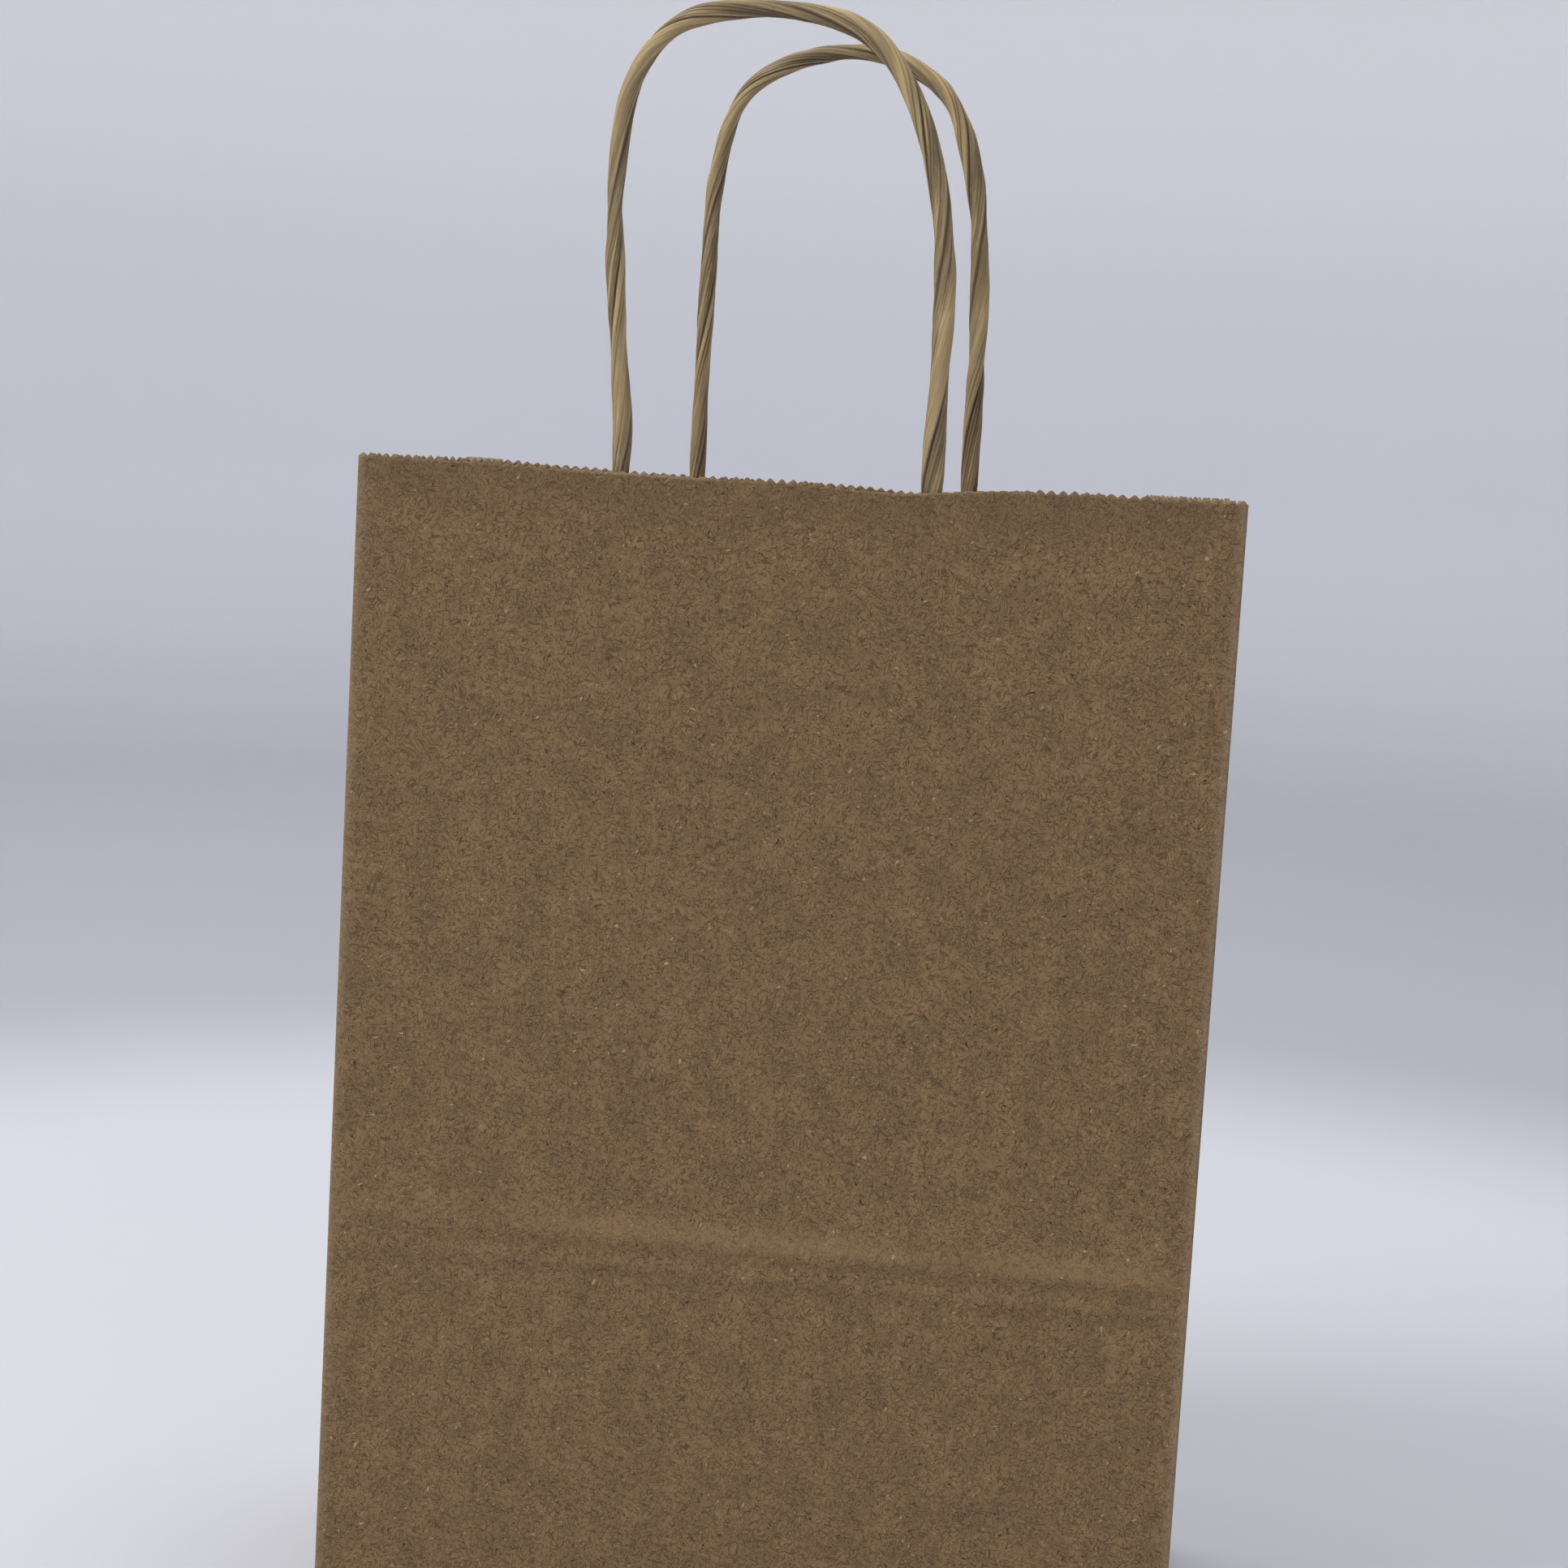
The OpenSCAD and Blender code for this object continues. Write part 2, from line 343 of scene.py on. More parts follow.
def fold_depth(y, z):
    """How far in from the side the folded paper lies, at a distance y from the middle plane."""
    y = math.sqrt(y * y + 0.09)
    out = max(0.0, fold_edge_y(z) - y)
    upper = out * MOUTH_IN / (TOP_Y - FOLD_R)
    bend_out = HALF_D - FOLD_R - BASE_CREASE * math.sin(LEAN)
    apex, crease = (0.0, APEX_Z, APEX_IN), (0.0, TOP_Z, MOUTH_IN)
    bend = (bend_out, BASE_CREASE, 0.0)
    u = [b - a for a, b in zip(apex, bend)]
    v = [b - a for a, b in zip(apex, crease)]
    area = u[0] * v[1] - u[1] * v[0]
    slope_y = (u[2] * v[1] - u[1] * v[2]) / area
    slope_z = (u[0] * v[2] - u[2] * v[0]) / area
    middle = APEX_IN + slope_y * y + slope_z * (z - APEX_Z)
    lower = out * APEX_IN / bend_out
    foot = APEX_IN * (z - SIDE_LIFT) / (APEX_Z - SIDE_LIFT)
    side = soft_max(lower, soft_min(upper, middle, 1.2), 0.9)
    return soft_min(side, max(foot, 0.0), 0.7)


def diagonal_y(z):
    """The foot's half width at a height."""
    return (HALF_D - FOLD_R) * clamp(1 - (z - SIDE_LIFT) / (APEX_Z - SIDE_LIFT))


def fold_point(left, y, z, seed):
    buckle = smooth(0, 9, fold_edge_y(z) - abs(y)) * smooth(0.5, 8, abs(y)) * smooth(6, 40, z)
    depth = fold_depth(y, z) + 0.9 * buckle * wander(y / 21, z / 48, seed)
    depth = max(depth, 0.0)
    return Vector(((-1 if left else 1) * (HALF_W - depth), y, z))


def gusset_sheet(name, left, front):
    seed = 20.0 + 3 * left + 7 * front
    width = math.hypot(TOP_Y - FOLD_R, MOUTH_IN)
    columns = round(TEETH * width / BODY_W) * TOOTH_STEPS
    heights = [1.0, 2.5] + steps(5, 47, 24) + steps(47, 200, 36)[1:] + [203.5, 206.5, 208.2, 208.9]
    grid = []
    for z0 in heights + [TOP_Z]:
        row = []
        for t in steps(0, 1, columns):
            low_y, high_y = fold_edge_y(z0), max(diagonal_y(z0), 0.02)
            y = low_y + (high_y - low_y) * t
            place = t * columns / TOOTH_STEPS
            cut = TOP_Z - TOOTH_H + TOOTH_H * tooth(place, seed) + ragged(place, seed)
            z = z0 if z0 < TOP_Z else cut
            y_here = -y if front else y
            mid_crease = max(bump(0, 0.9, y), bump(diagonal_y(z0), 0.9, y) * smooth(APEX_Z, APEX_Z - 2, z0))
            bend_y = (HALF_D - 1.8) * clamp(1 - (z0 - BASE_CREASE) / (TOP_Z - BASE_CREASE))
            soft_crease = 0.75 * bump(bend_y, 0.9, y) * smooth(BASE_CREASE - 1, BASE_CREASE + 2, z0)
            level_crease = 0.75 * bump(BASE_CREASE - 0.6, 1.0, z0)
            folded = max(bump(fold_edge_y(z0), 1.0, y), mid_crease, soft_crease, level_crease)
            cut_near = bump(cut, 0.5, z)
            row.append((fold_point(left, y_here, z, seed), (t * width, z, seed), (cut_near, folded, 0.0)))
        grid.append(row)
    return paper_sheet(name, grid, Vector((1 if left else -1, 0, 0)))


def foot_sheet(name, left):
    seed = 40.0 + left
    grid = []
    for z in steps(SIDE_LIFT + 0.05, APEX_Z - 0.7, 30):
        half = max(diagonal_y(z) - 0.04, 0.3)
        row = []
        for y in steps(-half, half, 40):
            folded = max(bump(half, 0.9, abs(y)), bump(SIDE_LIFT, 1.2, z))
            row.append((fold_point(left, y, z, seed), (y, z, seed), (0.0, folded, 0.0)))
        grid.append(row)
    return paper_sheet(name, grid, Vector((1 if left else -1, 0, 0)))


# ---- base: flaps lie on each other, a paper's thickness apart ----
def flap_sheet(name, corners, layer, seed):
    """A flap from its four corners, the first two on the fold."""
    a, b, c, d = [Vector((x, y, 0)) for x, y in corners]
    grid = []
    for v in steps(0, 1, 16):
        row = []
        for u in steps(0, 1, 44):
            p = a.lerp(b, u).lerp(d.lerp(c, u), v)
            p.z = layer * PAPER + 0.01
            edge = max(bump(1, 0.02, v), 0.6 * bump(0, 0.02, u), 0.6 * bump(1, 0.02, u))
            row.append((p, (p.x, p.y, seed), (0.5 * edge, bump(0, 0.03, v), 0.0)))
        grid.append(row)
    return paper_sheet(name, grid, Vector((0, 0, 1)), PAPER - 0.02)


def base_flap(name, side, layer):
    x, y, reach = HALF_W - BASE_GAP, HALF_D - BASE_GAP, FLAP_REACH
    tip = side * (y - reach)
    corners = [(-x, side * y), (x, side * y), (x - reach, tip), (reach - x, tip)]
    return flap_sheet(name, corners, layer, 50.0 + side)


def base_end(name, side, layer):
    x, y, slant = side * (HALF_W - BASE_GAP), HALF_D - BASE_GAP, END_SLANT
    tip = side * (HALF_W - BASE_GAP - END_REACH)
    corners = [(x, -y), (x, y), (tip, y - slant), (tip, slant - y)]
    return flap_sheet(name, corners, layer, 60.0 + side)


# ---- glued parts on the walls' inner faces ----
def seam_sheet(name):
    side, left = 1, SEAM_IN - HALF_W
    grid = []
    for up0 in [1.0] + up_rows(BASE_CREASE)[2:] + [BODY_H]:
        row = []
        for x in steps(left, left + SEAM_W, 42):
            place = (x + HALF_W) / BODY_W * TEETH
            dip = cut_dip(side, x)
            cut = BODY_H - TOOTH_H - 1 - dip + TOOTH_H * tooth(place, 8.0)
            up = min(up0 - dip * smooth(DIP_FROM, DIP_TO, up0), cut - 0.1) if up0 < BODY_H else cut
            press = 0.28 * bump(BASE_CREASE, 1.1, up)
            edge = max(bump(left, 0.5, x), bump(left + SEAM_W, 0.5, x))
            lift = 0.12 * bump(left + SEAM_W, 1.6, x) * (0.5 + wander(up / 9, 3.0))
            point = wall(side, x, PAPER + 0.03 + press + max(lift, 0.0), up)
            row.append((point, (x, up, 71.0), (0.7 * max(edge, bump(cut, 0.4, up)), 0.0, 0.0)))
        grid.append(row)
    return paper_sheet(name, grid, wall_inward(side), PAPER - 0.04)


def patch_sheet(name, side, feet, over_cords):
    """A patch flat on the wall, or the one pressed over the cord's ends."""
    x0 = (feet[0] + feet[1] - PATCH_W) / 2
    top, low = BODY_H - PATCH_DROP, BODY_H - PATCH_DROP - PATCH_H
    rest = (3 if over_cords else 1) * PAPER + (0.02 if over_cords else 0.03)
    xs = steps(x0, x0 + PATCH_W, 176 if over_cords else 60)
    ups = steps(low, low + 16, 16) + steps(low + 16, top, 22)[1:]
    grid = []
    for up0 in ups:
        row = []
        for x in xs:
            near_side = min(x - x0, x0 + PATCH_W - x)
            up = up0 - 0.12 * wander(x / 7, up0 / 50, 5.0 + side)
            for end in (low, top):
                past = PATCH_CORNER - near_side
                pull = PATCH_CORNER - math.sqrt(max(PATCH_CORNER**2 - max(past, 0.0) ** 2, 0.0))
                up += (pull if end == low else -pull) * bump(end, 2.0, up0)
            up -= cut_dip(side, x) * smooth(DIP_FROM, DIP_TO, up)
            height = rest
            if over_cords:
                taper = smooth(top - END_L - 7, top - END_L + 1, up0)
                for foot in feet:
                    height += 3.6 * taper * bump(foot, 2.6, x)
                height += 0.1 * max(0.0, wander(x / 5, up / 8, 9.0 + side))
            edge = max(bump(0, 0.5, near_side), bump(low, 0.5, up0), bump(top, 0.5, up0))
            ridge = max(bump(f, 0.9, x) for f in feet) if over_cords else 0.0
            point = wall(side, x, height, up)
            row.append((point, (x, up, 80.0 + 3 * side + over_cords), (0.8 * edge, 0.6 * ridge, 0.0)))
        grid.append(row)
    return paper_sheet(name, grid, wall_inward(side), PAPER - 0.04)


# ---- twisted paper cords ----
def curve_through(p, n):
    """The smooth line of part.scad's smooth(), n steps between two points."""
    out = []
    for i in range(len(p) - 1):
        a, b, c, d = p[max(i - 1, 0)], p[i], p[i + 1], p[min(i + 2, len(p) - 1)]
        for k in range(n):
            t = k / n
            out.append(
                b + (c - a) * t / 2
                + (2 * a - 5 * b + 4 * c - d) * t * t / 2
                + (3 * b - a - 3 * c + d) * t * t * t / 2
            )
    return out + [p[-1]]


def even(line, step):
    """The same line with its points a step apart."""
    far = [0.0]
    for a, b in zip(line, line[1:]):
        far.append(far[-1] + (b - a).length)
    n = round(far[-1] / step)
    out, i = [], 0
    for k in range(n + 1):
        want = far[-1] * k / n
        while i < len(far) - 2 and far[i + 1] < want:
            i += 1
        out.append(line[i].lerp(line[i + 1], (want - far[i]) / (far[i + 1] - far[i])))
    return out


def foot_points(side, foot):
    """The straight stretch of cord between the patches, from its end up to the cut edge."""
    top = BODY_H - PATCH_DROP
    dip = cut_dip(side, foot)
    ups = [top - END_L - dip, top - END_L * 0.66 - dip, top - END_L * 0.33 - dip, top - dip, BODY_H + 0.5]
    return [wall(side, foot, CORD_IN, up) for up in ups]


def cord_line(side, feet, line):
    loop = [Vector((x, side * CORD_Y, CORD_Z + h)) for x, h in line]
    points = foot_points(side, feet[0]) + loop + foot_points(side, feet[1])[::-1]
    return even(curve_through(points, 10), CORD_STEP)


def twist_depth(turn, s, seed):
    """Grooves of one turn of twisted paper: groups of fine ones between flat stretches, and one deep one,
    with the painted shade that darkens them.
    """
    fine = 0.0
    for k, at in enumerate((0.06, 0.12, 0.175, 0.235, 0.43, 0.48, 0.70, 0.755, 0.80)):
        gap = (turn - at - 0.018 * wander(s / 14, k * 2.7, seed) + 0.5) % 1 - 0.5
        strength = clamp(0.62 + 1.1 * wander(s / 24, k * 5.3, seed + 2), 0.0, 1.1)
        fine += strength * math.exp(-((gap / 0.013) ** 2))
    deep = 0.0
    for k, at in enumerate((0.31, 0.90)):
        gap = (turn - at - 0.03 * wander(s / 19, k * 4.1, seed + 5) + 0.5) % 1 - 0.5
        deep += (1.0 if k == 0 else 0.7) * math.exp(-((gap / 0.022) ** 2))
    step = (turn - 0.31) % 1
    lap = 0.15 * (1 - step) ** 3
    # the grooves' depth, then painted shade in the grooves
    return fine * 0.10 + deep * 0.30 - lap, clamp(0.75 * fine + 1.1 * deep)


def cord(name, side, feet, line, seed):
    """One cord, patch to patch, twisted to the right with a pitch of about 50 mm, and its centreline."""
    centres = cord_line(side, feet, line)
    around, n = CORD_AROUND, len(centres)
    along = [(centres[min(i + 1, n - 1)] - centres[max(i - 1, 0)]).normalized() for i in range(n)]
    square = Vector((0, 1, 0))
    points, twists, wear_and_painted_light_values = [], [], []
    s = 0.0
    for i in range(n):
        if i:
            s += (centres[i] - centres[i - 1]).length
        square = (square - along[i] * square.dot(along[i])).normalized()
        other = along[i].cross(square)
        glued = smooth(centres[i].z, centres[i].z + 3, CORD_Z - 2)
        tightness = 0.90 + 0.0022 * centres[i].x
        radius = CORD_D / 2 * (tightness + 0.13 * wander(s / 17, seed) + 0.07 * wander(s / 5, seed, 3.0))
        radius = radius * (1 - glued) + END_D / 2 * glued
        flat = 0.085 * (1 - glued) * (1 + wander(s / 30, seed, 6.0))
        turned = s / CORD_PITCH + 0.06 * wander(s / 22, seed, 9.0)
        for k in range(around):
            a = 2 * math.pi * k / around
            turn = (k / around - turned) % 1
            groove, dark = twist_depth(turn, s, seed)
            oval = 1 + flat * math.cos(4 * math.pi * turn)
            r = radius * oval - groove - 0.02 * wander(turn * 9, s / 3, seed)
            points.append(centres[i] + (square * math.cos(a) + other * math.sin(a)) * r)
            t = 2 * math.pi * turn
            twists.append((radius * math.cos(t), radius * math.sin(t), s))
            # cord's wear values: painted shade in the grooves, painted highlight away from them (strongest on
            # the raised lap), and how far the cord is glued
            wear_and_painted_light_values.append((dark, clamp(-groove * 9 + 0.2), glued))
    faces = []
    for i in range(n - 1):
        for k in range(around):
            a, b = i * around + k, i * around + (k + 1) % around
            faces.append((a, b, b + around, a + around))
    faces += [tuple(range(around))[::-1], tuple((n - 1) * around + k for k in range(around))]
    piece = put(name, points, faces)
    note(piece, "twist", twists)
    note(piece, "wear_and_painted_light", wear_and_painted_light_values)
    return piece, [p * MM for p in centres]


# ---- materials ----
class Nodes:
    """A short way to write a node material."""

    def __init__(self, name):
        self.material = bpy.data.materials.new(name)
        self.material.use_nodes = True
        self.tree = self.material.node_tree
        self.tree.nodes.clear()
        out = self.tree.nodes.new("ShaderNodeOutputMaterial")
        self.shader = self.tree.nodes.new("ShaderNodeBsdfPrincipled")
        self.link(self.shader.outputs[0], out.inputs[0])

    def link(self, a, b):
        self.tree.links.new(a, b)

    def set(self, socket, value):
        if isinstance(value, bpy.types.NodeSocket):
            self.link(value, socket)
        else:
            socket.default_value = value

    def attribute(self, name):
        node = self.tree.nodes.new("ShaderNodeAttribute")
        node.attribute_name = name
        return node.outputs["Vector"]

    def split(self, vector):
        node = self.tree.nodes.new("ShaderNodeSeparateXYZ")
        self.link(vector, node.inputs[0])
        return node.outputs

    def placed(self, vector, scale=(1, 1, 1), turn=0.0, shift=(0, 0, 0)):
        """The vector turned about z and then scaled."""
        node = self.tree.nodes.new("ShaderNodeMapping")
        node.vector_type = "TEXTURE"
        node.inputs["Location"].default_value = shift
        node.inputs["Rotation"].default_value = (0, 0, turn)
        node.inputs["Scale"].default_value = [1 / s for s in scale]
        self.link(vector, node.inputs["Vector"])
        return node.outputs[0]

    def noise(self, vector, scale=1.0, detail=2.0, rough=0.5):
        node = self.tree.nodes.new("ShaderNodeTexNoise")
        node.inputs["Scale"].default_value = scale
        node.inputs["Detail"].default_value = detail
        node.inputs["Roughness"].default_value = rough
        self.link(vector, node.inputs["Vector"])
        return node.outputs["Fac"]

    def noise_vector(self, vector, scale):
        node = self.tree.nodes.new("ShaderNodeTexNoise")
        node.inputs["Scale"].default_value = scale
        node.inputs["Detail"].default_value = 1.0
        self.link(vector, node.inputs["Vector"])
        return node.outputs["Color"]

    def vector(self, kind, a, b):
        node = self.tree.nodes.new("ShaderNodeVectorMath")
        node.operation = kind
        self.set(node.inputs[0], a)
        self.set(node.inputs[1], b)
        return node.outputs[0]

    def math(self, kind, a, b=0.0):
        node = self.tree.nodes.new("ShaderNodeMath")
        node.operation = kind
        self.set(node.inputs[0], a)
        self.set(node.inputs[1], b)
        return node.outputs[0]

    def between(self, value, low, high, to_low=0.0, to_high=1.0):
        """The value's stretch from low to high, as a soft step from to_low to to_high."""
        node = self.tree.nodes.new("ShaderNodeMapRange")
        node.interpolation_type = "SMOOTHSTEP"
        for socket, number in zip(node.inputs[1:5], (low, high, to_low, to_high)):
            socket.default_value = number
        self.link(value, node.inputs[0])
        return node.outputs[0]

    def mix(self, share, a, b, kind="MIX"):
        node = self.tree.nodes.new("ShaderNodeMix")
        node.data_type = "RGBA"
        node.blend_type = kind
        self.set(node.inputs[0], share)
        self.set(node.inputs[6], a)
        self.set(node.inputs[7], b)
        return node.outputs[2]

    def bump(self, height, distance, strength):
        node = self.tree.nodes.new("ShaderNodeBump")
        node.inputs["Strength"].default_value = strength
        node.inputs["Distance"].default_value = distance
        self.link(height, node.inputs["Height"])
        self.link(node.outputs[0], self.shader.inputs["Normal"])


def tone(colour, k=1.0):
    return (colour[0] * k, colour[1] * k, colour[2] * k, 1.0)


KRAFT = (0.262, 0.166, 0.080)
KRAFT_DARK = (0.075, 0.040, 0.018)
KRAFT_PALE = (0.46, 0.345, 0.205)
CORD_TAN = (0.355, 0.258, 0.122)


def kraft_paper(name, colour):
    """Recycled brown paper: cloudy, with fibres, specks and faint streaks, pale worn folds and cuts, and
    painted shade and painted highlights from the walls' third wear value.
    """
    n = Nodes(name)
    place = n.attribute("paper")
    wear_and_painted_light = n.split(n.attribute("wear_and_painted_light"))
    drift = n.vector("SUBTRACT", n.noise_vector(place, 0.33), (0.5, 0.5, 0.5))
    drift = n.vector("MULTIPLY", drift, (2.4, 2.4, 0))
    bent = n.vector("ADD", place, drift)
    cloud = n.noise(place, 0.16, 5.0, 0.62)
    grain = n.noise(place, 1.7, 4.0, 0.7)
    streak = n.noise(n.placed(place, (0.55, 0.03, 1)), 1.0, 3.0, 0.55)
    base = n.mix(n.between(cloud, 0.3, 0.7), tone(colour, 0.86), tone(colour, 1.14))
    base = n.mix(n.between(grain, 0.3, 0.72), n.mix(0.30, base, tone(colour, 0.6)), base)
    base = n.mix(n.between(streak, 0.35, 0.65, 0.0, 0.22), base, tone(colour, 0.72))
    dark = pale = relief = None
    for k, turn in enumerate((0.15, 0.75, 1.3, 1.95, 2.6)):
        long, thin = (0.85, 5.2) if k % 2 else (0.50, 3.9)
        fibre = n.noise(n.placed(bent, (long, thin, 1), turn, (7.1 * k, 3.3 * k, 0)), 1.0, 1.5, 0.45)
        d = n.between(fibre, 0.595, 0.665)
        p = n.between(fibre, 0.335, 0.27)
        dark = d if dark is None else n.math("MAXIMUM", dark, d)
        pale = p if pale is None else n.math("MAXIMUM", pale, p)
        relief = fibre if relief is None else n.math("ADD", relief, fibre)
    base = n.mix(n.math("MULTIPLY", pale, 0.34), base, tone(KRAFT_PALE))
    base = n.mix(n.math("MULTIPLY", dark, 0.72), base, tone(KRAFT_DARK))
    speck = n.between(n.noise(bent, 2.9, 1.0, 0.4), 0.69, 0.73)
    base = n.mix(n.math("MULTIPLY", speck, 0.9), base, tone(KRAFT_DARK, 0.35))
    flake = n.between(n.noise(n.placed(bent, (0.9, 1.6, 1), 0.6, (31, 17, 0)), 1.0, 0.5, 0.4), 0.76, 0.80)
    base = n.mix(n.math("MULTIPLY", flake, 0.75), base, tone(KRAFT_PALE, 1.1))
    # painted shade where the third wear value is positive (under the cut edge, in the pressed marks'
    # valleys); painted highlight where it is negative (on the marks' ridges)
    base = n.mix(n.math("MULTIPLY", n.math("MAXIMUM", wear_and_painted_light[2], 0.0), 0.30), base, tone(colour, 0.45))
    base = n.mix(n.math("MULTIPLY", n.math("MINIMUM", wear_and_painted_light[2], 0.0), -0.30), base, tone(colour, 1.6))
    folded = n.math("MULTIPLY", wear_and_painted_light[1], n.between(grain, 0.25, 0.6, 0.12, 0.5))
    base = n.mix(folded, base, tone(KRAFT_PALE, 0.8))
    fringe = n.math("MULTIPLY", wear_and_painted_light[0], n.between(n.noise(place, 3.4, 3.0, 0.6), 0.35, 0.62, 0.25, 1.0))
    base = n.mix(fringe, base, tone(KRAFT_PALE, 0.95))
    n.link(base, n.shader.inputs["Base Color"])
    rough = n.between(n.math("ADD", grain, n.math("MULTIPLY", pale, -0.2)), 0.2, 0.8, 0.78, 0.94)
    n.link(rough, n.shader.inputs["Roughness"])
    n.shader.inputs["Specular IOR Level"].default_value = 0.28
    height = n.math("ADD", n.math("MULTIPLY", relief, 0.25), n.math("MULTIPLY", grain, 0.6))
    height = n.math("ADD", height, n.math("MULTIPLY", n.noise(place, 0.5, 2.0), 0.8))
    n.bump(height, 0.00016, 0.75)
    return n.material


def cord_paper(name):
    """Paper twisted into a cord: fine lines along the twist, painted shade in its creases, and painted
    highlights on its ridges.
    """
    n = Nodes(name)
    twist = n.attribute("twist")
    wear_and_painted_light = n.split(n.attribute("wear_and_painted_light"))
    lines = n.noise(n.placed(twist, (2.3, 2.3, 0.07)), 1.0, 4.0, 0.65)
    broad = n.noise(n.placed(twist, (0.7, 0.7, 0.05)), 1.0, 2.0, 0.5)
    fleck = n.noise(n.placed(twist, (3.0, 3.0, 0.9)), 1.0, 3.0, 0.6)
    base = n.mix(n.between(broad, 0.34, 0.66), tone(CORD_TAN, 0.55), tone(CORD_TAN, 1.45))
    base = n.mix(n.between(lines, 0.38, 0.60), n.mix(0.75, base, tone(CORD_TAN, 0.34)), base)
    base = n.mix(n.between(fleck, 0.62, 0.70, 0.0, 0.55), base, tone(KRAFT_DARK, 0.8))
    base = n.mix(n.between(fleck, 0.36, 0.28, 0.0, 0.5), base, tone(CORD_TAN, 1.7))
    # painted highlight away from the grooves, strongest on the raised lap
    base = n.mix(n.math("MULTIPLY", wear_and_painted_light[1], 0.45), base, tone(CORD_TAN, 1.9))
    # painted shade in the grooves
    base = n.mix(n.math("MULTIPLY", wear_and_painted_light[0], 0.9), base, tone(KRAFT_DARK, 0.6))
    n.link(base, n.shader.inputs["Base Color"])
    n.link(n.between(lines, 0.3, 0.7, 0.72, 0.5), n.shader.inputs["Roughness"])
    n.shader.inputs["Specular IOR Level"].default_value = 0.45
    n.bump(n.math("ADD", lines, n.math("MULTIPLY", fleck, 0.4)), 0.00022, 0.8)
    return n.material


def studio_paper():
    """Matt grey-blue paper with painted light: a painted pool of light on the floor round the bag, a darker
    ring beyond it, and walls painted paler as they rise.
    """
    n = Nodes("studio")
    place = n.tree.nodes.new("ShaderNodeNewGeometry").outputs["Position"]
    x, y, up = n.split(place)[:]
    far = n.math("SQRT", n.math("ADD", n.math("MULTIPLY", x, x), n.math("MULTIPLY", y, y)))
    # painted light: the colour changes with distance from the bag and with height
    colour = n.mix(n.between(far, 0.34, 0.56), (0.66, 0.67, 0.71, 1), (0.46, 0.465, 0.505, 1))
    colour = n.mix(n.between(far, 1.1, 1.9), colour, (0.70, 0.71, 0.76, 1))
    colour = n.mix(n.between(up, 0.2, 0.7), colour, (0.92, 0.92, 0.95, 1))
    soft = n.noise(place, 3.0, 2.0)
    n.link(n.mix(n.math("MULTIPLY", soft, 0.06), colour, (1, 1, 1, 1)), n.shader.inputs["Base Color"])
    n.shader.inputs["Roughness"].default_value = 0.9
    n.shader.inputs["Specular IOR Level"].default_value = 0.1
    return n.material


# ---- stage, light and camera ----
def studio():
    """A round pale floor that curves up into a low wall all round."""
    outline = [(0.0, 0.0), (0.45, 0.0), (0.9, 0.0), (1.3, 0.01), (1.6, 0.07), (1.85, 0.2), (2.03, 0.4)]
    outline += [(2.15, 0.7), (2.2, 1.1), (2.2, 1.6)]
    around = 96
    points = [Vector((0, 0, 0))]
    for r, z in outline[1:]:
        for k in range(around):
            a = 2 * math.pi * k / around
            points.append(Vector((r * math.cos(a), r * math.sin(a), z)) / MM)
    faces = [(0, 1 + k, 1 + (k + 1) % around) for k in range(around)]
    for i in range(len(outline) - 2):
        for k in range(around):
            a, b = 1 + i * around + k, 1 + i * around + (k + 1) % around
            faces.append((a, a + around, b + around, b))
    floor = put("studio_floor", points, faces)
    floor.data.materials.append(studio_paper())


def softbox(name, place, target, size, power, colour):
    light = bpy.data.lights.new(name, "AREA")
    light.shape = "SQUARE"
    light.size = size
    light.energy = power
    light.color = colour
    holder = bpy.data.objects.new(name, light)
    holder.location = place
    holder.rotation_euler = (Vector(target) - Vector(place)).to_track_quat("-Z", "Y").to_euler()
    bpy.context.scene.collection.objects.link(holder)


def lights():
    softbox("key", (-0.9, -0.7, 1.25), (0, 0, 0.18), 0.6, 13, (1.0, 0.99, 0.98))
    softbox("fill", (1.2, -0.9, 0.8), (0, 0, 0.12), 1.2, 1.6, (0.96, 0.98, 1.0))
    softbox("top", (0.0, 0.5, 1.7), (0, 0.1, 0.0), 1.6, 15, (0.97, 0.98, 1.0))
    world = bpy.data.worlds.new("sky")
    world.use_nodes = True
    sky = world.node_tree.nodes["Background"]
    sky.inputs[0].default_value = (0.80, 0.82, 0.88, 1)
    sky.inputs[1].default_value = 0.38
    bpy.context.scene.world = world


def camera():
    data = bpy.data.cameras.new("camera")
    data.lens = CAMERA_LENS
    data.sensor_width = 36
    data.clip_start = 0.01
    data.dof.use_dof = False
    holder = bpy.data.objects.new("camera", data)
    holder.location = CAMERA_PLACE
    holder.rotation_euler = Euler([math.radians(a) for a in CAMERA_TURN])
    bpy.context.scene.collection.objects.link(holder)
    bpy.context.scene.camera = holder


# ---- the bag ----
def fit(piece, material, slot, *nodes):
    piece.data.materials.append(material)
    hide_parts(*nodes)
    return piece


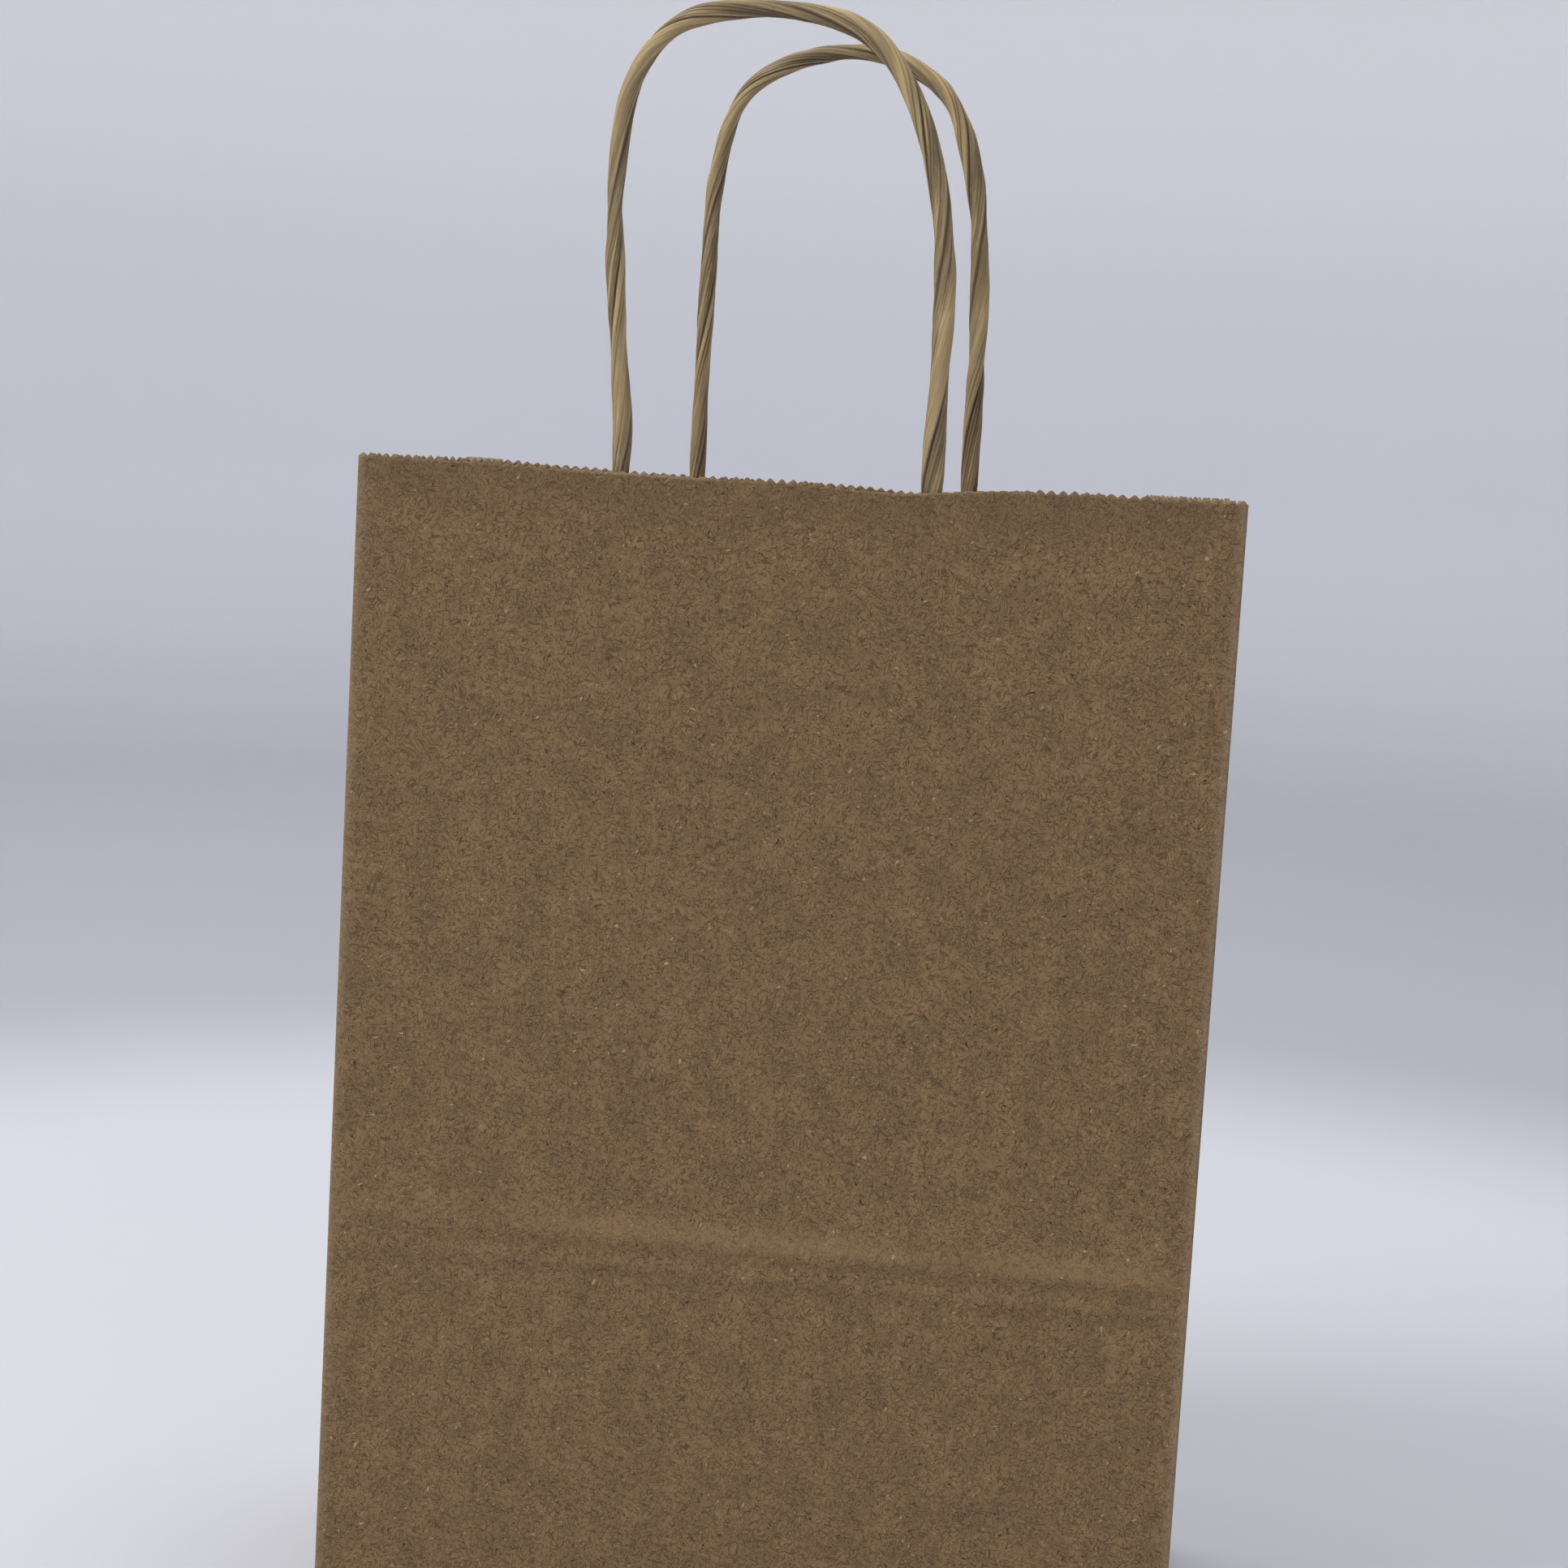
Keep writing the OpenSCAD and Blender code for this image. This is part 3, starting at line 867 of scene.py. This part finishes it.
def walls(kraft, inner, patch):
    for name, side, feet in (("front", -1, FRONT_FEET), ("back", 1, BACK_FEET)):
        body = name + "_wall"
        nodes = [name + "_panel"] + ([name + "_foot"] if side > 0 else [])
        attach(fit(wall_sheet(name + "_paper", side), kraft, "kraft", *nodes), body)
        flat = patch_sheet(name + "_patch_paper", side, feet, False)
        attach(fit(flat, patch, "patch", name + "_patch"), body)
        cover = patch_sheet(name + "_cover_paper", side, feet, True)
        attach(fit(cover, patch, "patch", name + "_cover"), body)
    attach(fit(seam_sheet("seam_paper"), inner, "kraft_inside", "seam_flap"), "back_wall")


def side_folds(kraft):
    for left in (True, False):
        hand = "left" if left else "right"
        for front in (True, False):
            end = "front" if front else "back"
            node = f"gusset_{hand}_{end}"
            piece = fit(gusset_sheet(node + "_paper", left, front), kraft, "kraft", node)
            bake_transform(piece)
        foot = foot_sheet(f"gusset_{hand}_foot_paper", left)
        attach(fit(foot, kraft, "kraft", f"gusset_{hand}_foot"), "base")


def base(kraft, inner):
    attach(fit(base_flap("base_front_paper", -1, 0), kraft, "kraft", "base_flap_front"), "base")
    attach(fit(base_flap("base_back_paper", 1, 1), kraft, "kraft", "base_flap_back"), "base")
    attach(fit(base_end("base_left_paper", -1, 2), inner, "kraft_inside", "base_end_left"), "base")
    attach(fit(base_end("base_right_paper", 1, 2), inner, "kraft_inside", "base_end_right"), "base")


def handle(name, side, feet, line, seed, material):
    piece, path = cord(name + "_cord", side, feet, line, seed)
    nodes = [f"{name}_{part}" for part in ("end_left", "end_right", "neck_left", "neck_right", "loop")]
    fit(piece, material, "cord", *nodes)
    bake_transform(piece)
    leaves = wall(side, feet[0], CORD_IN, BODY_H - PATCH_DROP) * MM


camera()
cord_material = cord_paper("cord_paper")
handle("front", -1, FRONT_FEET, FRONT_LINE, 1.0, cord_material)
handle("back", 1, BACK_FEET, BACK_LINE, 5.0, cord_material)
kraft_outside = kraft_paper("kraft", KRAFT)
kraft_inner = kraft_paper("kraft_inside", tuple(c * 0.97 for c in KRAFT))
kraft_patch = kraft_paper("kraft_patch", tuple(c * 1.05 for c in KRAFT))
walls(kraft_outside, kraft_inner, kraft_patch)
side_folds(kraft_outside)
base(kraft_outside, kraft_inner)
studio()
lights()
bpy.context.scene.view_settings.view_transform = "Standard"
